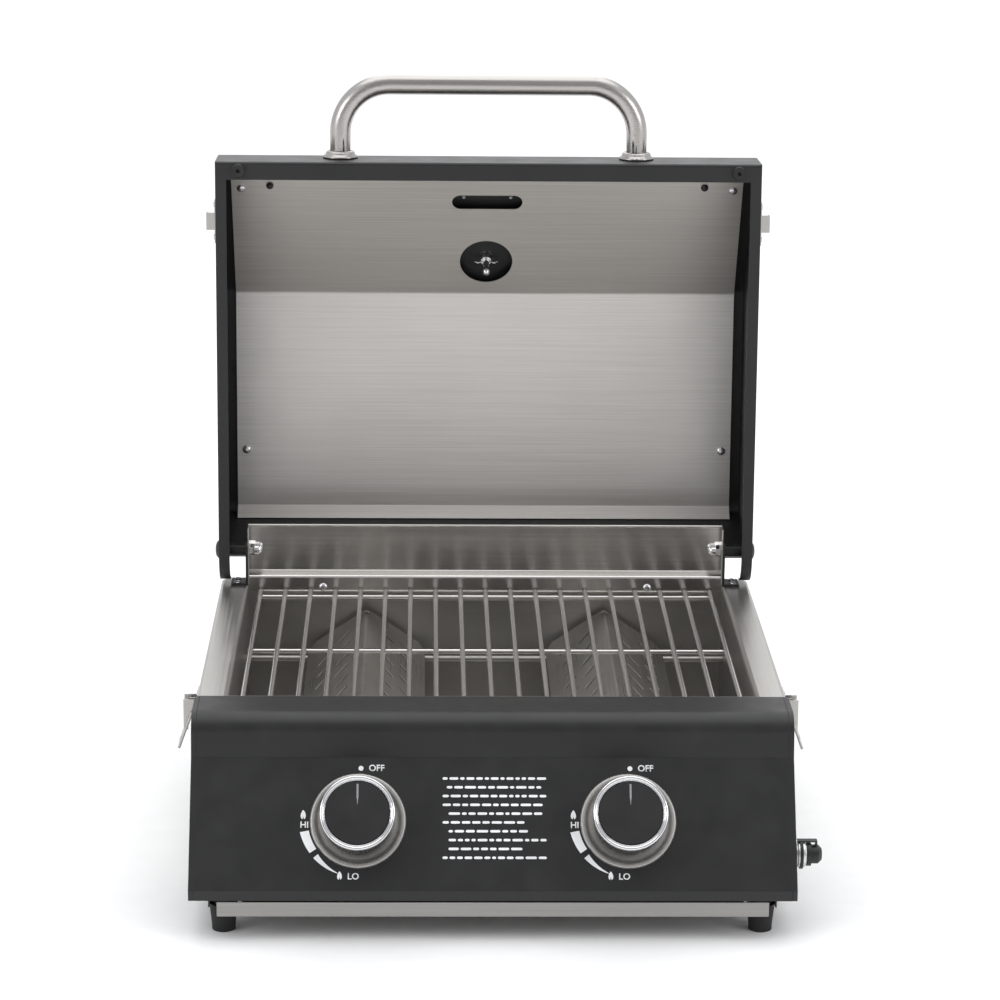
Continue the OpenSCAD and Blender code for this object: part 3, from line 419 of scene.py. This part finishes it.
class GRILL_OT_stage(bpy.types.Operator):
    """Camera, floor, sky and softbox lights"""
    bl_idname = "grill.stage"
    bl_label = "Stage"

    def execute(self, context):
        stage = context.scene.grill_stage
        data = bpy.data.cameras.new("Camera")
        data.lens = stage.lens
        data.clip_end = 50
        camera = bpy.data.objects.new("Camera", data)
        turn = Matrix.Rotation(-stage.yaw, 4, "Z") @ Matrix.Rotation(math.pi / 2 - stage.pitch, 4, "X")
        roll = Matrix.Rotation(stage.roll, 4, "Z")
        camera.matrix_world = Matrix.Translation(Vector(stage.place)) @ turn @ roll
        context.scene.collection.objects.link(camera)
        context.scene.camera = camera
        self.floor(context)
        self.sky(context)
        self.sun(context)
        for light in (("Left box", (-2.3, -1.4, 1.5), (0, 0, 0.3), 1.1, 16),
                      ("Right box", (2.3, -1.4, 1.5), (0, 0, 0.3), 1.1, 16),
                      ("Rear box", (0, 2.6, 2.2), (0, 0, 0.4), 1.8, 14)):
            self.softbox(context, *light)
        context.scene.view_settings.view_transform = "Standard"
        return {"FINISHED"}

    def floor(self, context):
        mesh = bmesh.new()
        bmesh.ops.create_grid(mesh, x_segments=8, y_segments=8, size=FLOOR_SIZE)
        data = bpy.data.meshes.new("Floor")
        mesh.to_mesh(data)
        mesh.free()
        material, tree, shader, where = start_material("Pale floor", (0.9, 0.9, 0.9), 0.0, 0.8)
        speck = place_group(tree, "Powder coat", where, Size=60.0, Depth=0.02)
        shade = mix_colour(tree, speck.outputs["Mottle"], (0.90, 0.90, 0.90), (0.92, 0.92, 0.92))
        tree.links.new(shade, shader.inputs["Base Color"])
        data.materials.append(material)
        floor = bpy.data.objects.new("Floor", data)
        context.scene.collection.objects.link(floor)

    def sky(self, context):
        """A white room, dimmer round the camera and plain white where the camera looks past the floor."""
        world = bpy.data.worlds.new("Pale room")
        world.use_nodes = True
        tree = world.node_tree
        back = tree.nodes["Background"]
        way = add(tree, "ShaderNodeTexCoord").outputs["Generated"]
        ahead = add(tree, "ShaderNodeVectorMath", operation="DOT_PRODUCT")
        ahead.inputs[1].default_value = Vector(SKY_AHEAD)
        tree.links.new(way, ahead.inputs[0])
        dim = spread(tree, ahead.outputs["Value"], 0.62, 0.93, 0.0, 1.0)
        shade = mix_colour(tree, dim, (0.84, 0.85, 0.87), (0.42, 0.42, 0.43))
        seen = add(tree, "ShaderNodeLightPath").outputs["Is Camera Ray"]
        tree.links.new(mix_colour(tree, seen, shade, (1.0, 1.0, 1.0)), back.inputs["Color"])
        context.scene.world = world

    def sun(self, context):
        """A very wide lamp overhead, which lights the floor evenly to its far edge."""
        data = bpy.data.lights.new("Overhead", "SUN")
        data.angle = SUN_SPREAD
        data.energy = SUN_POWER
        light = bpy.data.objects.new("Overhead", data)
        light.rotation_euler = (SUN_LEAN, 0, 0)
        context.scene.collection.objects.link(light)

    def softbox(self, context, name, place, target, size, power):
        data = bpy.data.lights.new(name, "AREA")
        data.size = size
        data.energy = power
        light = bpy.data.objects.new(name, data)
        light.location = place
        aim = Vector(target) - Vector(place)
        light.rotation_euler = aim.to_track_quat("-Z", "Y").to_euler()
        context.scene.collection.objects.link(light)


class GRILL_OT_cad_finishes(bpy.types.Operator):
    """Finishes and softened edges for every piece of the frame"""
    bl_idname = "grill.cad_finishes"
    bl_label = "Finishes"
    plain = {"thermometer_lens", "cooking_grate", "lid_handle", "handle_collars"}

    def execute(self, context):
        MATERIALS.update(make_materials(context.scene.grill_finish))
        slots = {part["node"]: part["material_slot"] for part in frame["record"]["subparts"]}
        for name, piece in NODES.items():
            finish = SPECIAL.get(name, slots[name])
            piece.data.materials.clear()
            piece.data.materials.append(MATERIALS[finish])
            piece.data.polygons.foreach_set("use_smooth", [True] * len(piece.data.polygons))
            weld = piece.modifiers.new("Weld", "WELD")
            weld.merge_threshold = WELD_GAP
            if name not in self.plain:
                self.soften(piece, context.scene.grill_finish.edge)
            self.sharpen(piece)
        return {"FINISHED"}

    def soften(self, piece, radius):
        flat = piece.modifiers.new("Flatten", "DECIMATE")
        flat.decimate_type = "DISSOLVE"
        flat.angle_limit = FLAT_ANGLE
        bevel = piece.modifiers.new("Edges", "BEVEL")
        bevel.width = radius
        bevel.segments = 2
        bevel.limit_method = "ANGLE"
        bevel.angle_limit = EDGE_ANGLE
        bevel.harden_normals = False

    def sharpen(self, piece):
        weighted = piece.modifiers.new("Normals", "WEIGHTED_NORMAL")
        weighted.keep_sharp = True
        weighted.weight = 60


MATERIALS = {}


class GRILL_OT_knob_rings(bpy.types.Operator):
    """Bright rings, faces and pointers of the two knobs"""
    bl_idname = "grill.knob_rings"
    bl_label = "Knobs"

    def execute(self, context):
        steps = context.scene.grill_knobs.ring_steps
        for side in SIDES:
            place = knob_place(side)
            height, outer, inner = self.measure(side, place)
            self.ring(side, place, height, outer, inner, steps)
            self.face(side, place, height, inner, steps)
            self.pointer(side, place, height, inner)
        return {"FINISHED"}

    def measure(self, side, place):
        """Top, outer radius and inner radius of the ring from its CAD node, in millimetres."""
        back = place.inverted()
        points = [back @ v.co for v in NODES[side + "_knob_ring"].data.vertices]
        radii = [Vector((p.x, p.y)).length / MM for p in points]
        return max(p.z for p in points) / MM, max(radii), min(radii)

    def ring(self, side, place, height, outer, inner, steps):
        bead = (outer - inner) * 0.30
        profile = [(inner, height - 6.8), (outer - 1.0, height - 6.8), (outer - 0.2, height - 6.0)]
        profile += round_corner(outer - bead, height - bead, bead, 0, 150, 10)
        dip = outer - 2.2 * bead
        profile += round_corner(dip, height - 0.9, 0.7, 330, 180, 5)
        profile += [(inner + 0.5, height - 1.5), (inner, height - 1.9)]
        mesh = turned_mesh(profile, steps)
        bmesh.ops.transform(mesh, matrix=place, verts=mesh.verts)
        finish_mesh(mesh, side + "_knob_bright_ring", MATERIALS["chrome"], side + "_knob",
                    (side + "_knob_ring",))

    def face(self, side, place, height, inner, steps):
        edge = inner - 0.15
        profile = [(0.0, height - 1.05), (edge * 0.55, height - 1.12), (edge - 1.0, height - 1.5),
                   (edge, height - 2.0), (edge, height - 2.6), (0.0, height - 2.6)]
        mesh = bmesh.new()
        points = [mesh.verts.new((r * MM, 0, z * MM)) for r, z in profile]
        edges = [mesh.edges.new(pair) for pair in zip(points, points[1:])]
        bmesh.ops.spin(mesh, geom=points + edges, cent=(0, 0, 0), axis=(0, 0, 1), dvec=(0, 0, 0),
                       angle=math.tau, steps=steps, use_merge=True, use_duplicate=False)
        bmesh.ops.remove_doubles(mesh, verts=mesh.verts, dist=1e-6)
        bmesh.ops.recalc_face_normals(mesh, faces=mesh.faces)
        smooth_by_angle(mesh, 40)
        bmesh.ops.transform(mesh, matrix=place, verts=mesh.verts)
        finish_mesh(mesh, side + "_knob_face", MATERIALS["face_black"], side + "_knob")

    def pointer(self, side, place, height, inner):
        mesh = bmesh.new()
        tip, foot = inner - 2.0, inner * 0.27
        outline = [(-0.18, foot), (0.18, foot), (0.42, foot + 4)]
        outline += [(0.8, foot + 6), (0.8, tip), (-0.8, tip), (-0.8, foot + 6), (-0.42, foot + 4)]
        slab(mesh, outline, height - 1.6, height - 0.9, place)
        bmesh.ops.recalc_face_normals(mesh, faces=mesh.faces)
        finish_mesh(mesh, side + "_knob_pointer", MATERIALS["zinc_screw"], side + "_knob")


class GRILL_OT_dial_print(bpy.types.Operator):
    """White print around the knobs: off dot, dial words, flames and tapering level arcs"""
    bl_idname = "grill.dial_print"
    bl_label = "Dial print"
    low, high = 0.0, 0.06

    def execute(self, context):
        knobs = context.scene.grill_knobs
        radius = knobs.mark_radius / MM
        for side in SIDES:
            place = knob_place(side)
            mesh = bmesh.new()
            slab(mesh, round_corner(2.0, radius - 1, 2.1, 0, 350, 22), self.low, self.high, place)
            self.flame(mesh, place, -radius, 5.4, 7.8)
            self.flame(mesh, place, -15.0, -45.5, 7.2)
            self.arc(mesh, place, 191, 214, (41.5, 41.5), (49.0, 48.0))
            self.arc(mesh, place, 220, 249, (43.0, 46.4), (48.0, 46.9))
            self.word(mesh, place, "OFF", 8.5, radius - 3.2, knobs.letter)
            self.word(mesh, place, "HI", -radius - 2.6, -5.6, knobs.letter)
            self.word(mesh, place, "LO", -8.6, -48.6, knobs.letter)
            bmesh.ops.recalc_face_normals(mesh, faces=mesh.faces)
            finish_mesh(mesh, side + "_dial_print", MATERIALS["print_white"], "firebox_body")
        self.note_lines(context)
        return {"FINISHED"}

    def arc(self, mesh, place, start, end, inner, outer):
        """A level mark whose inner and outer radii change from start to end."""
        steps = 14
        near, far = [], []
        for k in range(steps + 1):
            share = k / steps
            angle = math.radians(start + (end - start) * share)
            way = Vector((math.cos(angle), math.sin(angle)))
            near.append(tuple(way * (inner[0] + (inner[1] - inner[0]) * share)))
            far.append(tuple(way * (outer[0] + (outer[1] - outer[0]) * share)))
        slab(mesh, near + far[::-1], self.low, self.high, place)

    def flame(self, mesh, place, x, y, height):
        """A plain teardrop flame with a notch at its foot."""
        half = height * 0.34
        outline = []
        for k in range(25):
            share = k / 24
            angle = math.tau * share
            width = half * math.sin(angle) * (math.sin(angle / 2) ** 0.7)
            outline.append((x + width, y + height * 0.5 * math.cos(angle)))
        middle = len(outline) // 2
        notch = (x, y - height * 0.18)
        outline = outline[1:middle] + [notch] + outline[middle + 1:-1]
        slab(mesh, [(x, y + height * 0.5)] + outline, self.low, self.high, place)

    def word(self, mesh, place, text, x, y, size):
        curve = bpy.data.curves.new("Dial word", "FONT")
        curve.body = text
        curve.size = size * 1.28
        curve.offset = size * 0.025
        curve.resolution_u = 4
        holder = bpy.data.objects.new("Dial word", curve)
        bpy.context.scene.collection.objects.link(holder)
        bpy.context.view_layer.update()
        flat = bpy.data.meshes.new_from_object(holder.evaluated_get(bpy.context.evaluated_depsgraph_get()))
        bpy.data.objects.remove(holder)
        letters = bmesh.new()
        letters.from_mesh(flat)
        bpy.data.meshes.remove(flat)
        bmesh.ops.remove_doubles(letters, verts=letters.verts, dist=1e-7)
        raised = bmesh.ops.extrude_face_region(letters, geom=letters.faces[:])
        tops = [v for v in raised["geom"] if isinstance(v, bmesh.types.BMVert)]
        bmesh.ops.translate(letters, verts=tops, vec=(0, 0, (self.high - self.low) * MM))
        shift = Matrix.Translation((x * MM, y * MM, self.low * MM))
        bmesh.ops.transform(letters, matrix=place @ shift, verts=letters.verts)
        bmesh.ops.recalc_face_normals(letters, faces=letters.faces)
        joined = bpy.data.meshes.new("Dial word")
        letters.to_mesh(joined)
        letters.free()
        mesh.from_mesh(joined)
        bpy.data.meshes.remove(joined)

    def note_lines(self, context):
        """Rows of plain dashes between the knobs where a printed note would stand."""
        random.seed(7)
        left, right = (knob_place(side) for side in SIDES)
        middle = left.copy()
        middle.translation = (left.translation + right.translation) / 2
        mesh = bmesh.new()
        rows, pitch, start, stop, height = 10, 7.4, -42.0, 44.0, 2.1
        for row in range(rows):
            y = 36.0 - row * pitch
            x = start + (3.5 if row == 1 else 0.0) + (5.0 if row in (4, 6, 7, 8) else 0.0)
            limit = stop - random.uniform(0, 22)
            while x < limit:
                length = random.uniform(3.0, 9.5)
                end = min(x + length, stop)
                bar = round_corner(end - 0.9, y, height / 2, -90, 90, 4)
                bar += round_corner(x + 0.9, y, height / 2, 90, 270, 4)
                slab(mesh, bar, self.low, self.high, middle)
                x = end + 1.7
        bmesh.ops.recalc_face_normals(mesh, faces=mesh.faces)
        finish_mesh(mesh, "panel_note_lines", MATERIALS["print_white"], "firebox_body")


class GRILL_PT_panel(bpy.types.Panel):
    """Buttons for the build steps and the grill's settings"""
    bl_idname = "GRILL_PT_panel"
    bl_label = "Grill"
    bl_space_type = "VIEW_3D"
    bl_region_type = "UI"
    bl_category = "Grill"

    def draw(self, context):
        for operator in BUILD_ORDER:
            self.layout.operator(operator)
        for group in ("grill_finish", "grill_knobs", "grill_stage"):
            settings = getattr(context.scene, group)
            for title in settings.bl_rna.properties.keys():
                if title not in {"rna_type", "name"}:
                    self.layout.prop(settings, title)


BUILD_ORDER = ("grill.stage", "grill.cad_finishes", "grill.knob_rings", "grill.dial_print")
SETTINGS = {"grill_finish": GrillFinish, "grill_knobs": GrillKnobs, "grill_stage": GrillStage}
CLASSES = (GrillFinish, GrillKnobs, GrillStage, GRILL_OT_stage, GRILL_OT_cad_finishes, GRILL_OT_knob_rings,
           GRILL_OT_dial_print, GRILL_PT_panel)


def register():
    for item in CLASSES:
        bpy.utils.register_class(item)
    for name, settings in SETTINGS.items():
        setattr(bpy.types.Scene, name, PointerProperty(type=settings))


def unregister():
    for name in SETTINGS:
        delattr(bpy.types.Scene, name)
    for item in reversed(CLASSES):
        bpy.utils.unregister_class(item)


def run_operator(name):
    group, action = name.split(".")
    getattr(getattr(bpy.ops, group), action)()


def main():
    register()
    for name in BUILD_ORDER:
        run_operator(name)


if __name__ == "__main__":
    main()
